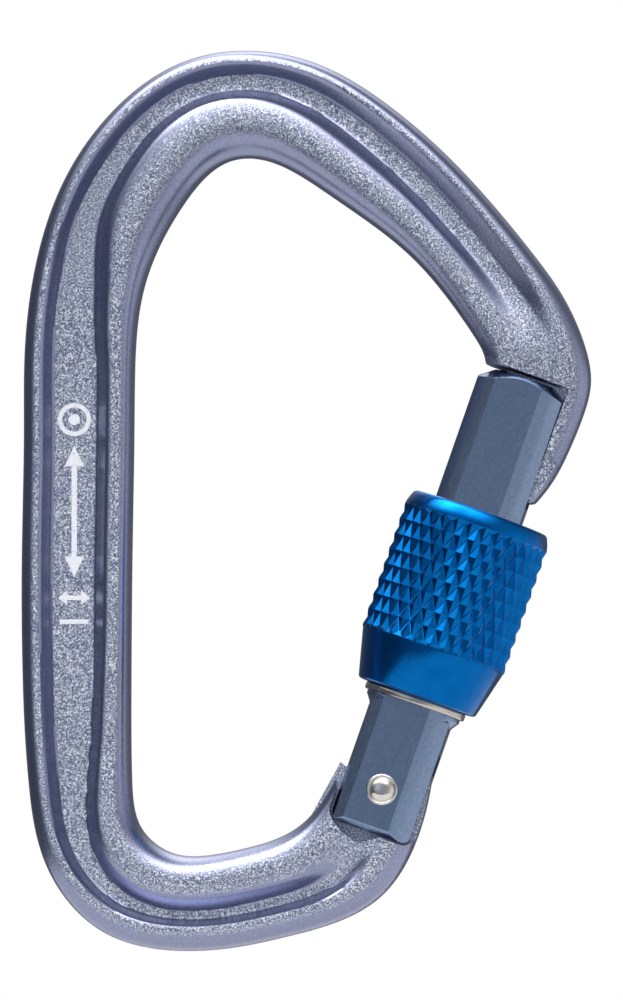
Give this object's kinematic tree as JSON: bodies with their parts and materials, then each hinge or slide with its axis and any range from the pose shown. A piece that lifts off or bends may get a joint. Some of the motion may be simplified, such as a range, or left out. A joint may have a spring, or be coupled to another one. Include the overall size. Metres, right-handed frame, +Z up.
{
  "type": "locking carabiner",
  "caption": "Screwgate locking carabiner: forged I-beam body, sprung keylock gate on a rivet, and a knurled screw sleeve that climbs the gate thread to cover the nose.",
  "frame": {"origin": "bearing point of the wide upper bend, on the inner edge and the mid-plane, where a rope or sling loads the carabiner", "axes": "+Z up the major axis towards the wide bend, +Y through the thickness with the front face at -Y, +X towards the gate side"},
  "size_m": [0.0632, 0.0166, 0.1001],
  "materials": {
    "anodised_body": "blasted, anodised lavender grey",
    "gate_alloy": "satin, anodised slate",
    "stainless": "polished",
    "spring_wire": "drawn wire",
    "plunger_steel": "turned",
    "ring_steel": "satin",
    "blue_anodise": "anodised blue, knurled"
  },
  "bodies": {
    "frame": {"frame": "anodised_body"},
    "gate": {"gate": "gate_alloy", "hinge_rivet": "stainless", "gate_spring": "spring_wire"},
    "plunger": {"spring_plunger": "plunger_steel"},
    "stop_ring": {"stop_ring": "ring_steel"},
    "sleeve": {"lock_sleeve": "blue_anodise"}
  },
  "joints": [
    {"name": "gate_hinge", "type": "hinge", "parent": "frame", "child": "gate", "pos_m": [0.01522, 0, -0.0706], "axis": [0, -1, 0], "range_deg": [0, 32], "stiffness_Nm_per_rad": 0.36, "springref_deg": -40.11},
    {"name": "plunger_slide", "type": "slide", "parent": "gate", "child": "plunger", "axis": [0.3305, 0, 0.9438], "range_m": [0, 0.0009], "deforming": ["gate_spring"]},
    {"name": "sleeve_turn", "type": "hinge", "parent": "gate", "child": "stop_ring", "pos_m": [0.01522, 0, -0.0706], "axis": [0.3305, 0, 0.9438], "range_deg": [0, 1110]},
    {"name": "sleeve_slide", "type": "slide", "parent": "stop_ring", "child": "sleeve", "axis": [0.3305, 0, 0.9438], "range_m": [0, 0.00742]}
  ],
  "couplings": [
    {"joint": "plunger_slide", "follows": "gate_hinge", "m_per_rad": 0.00157},
    {"joint": "sleeve_slide", "follows": "sleeve_turn", "m_per_rad": 0.00038197}
  ]
}
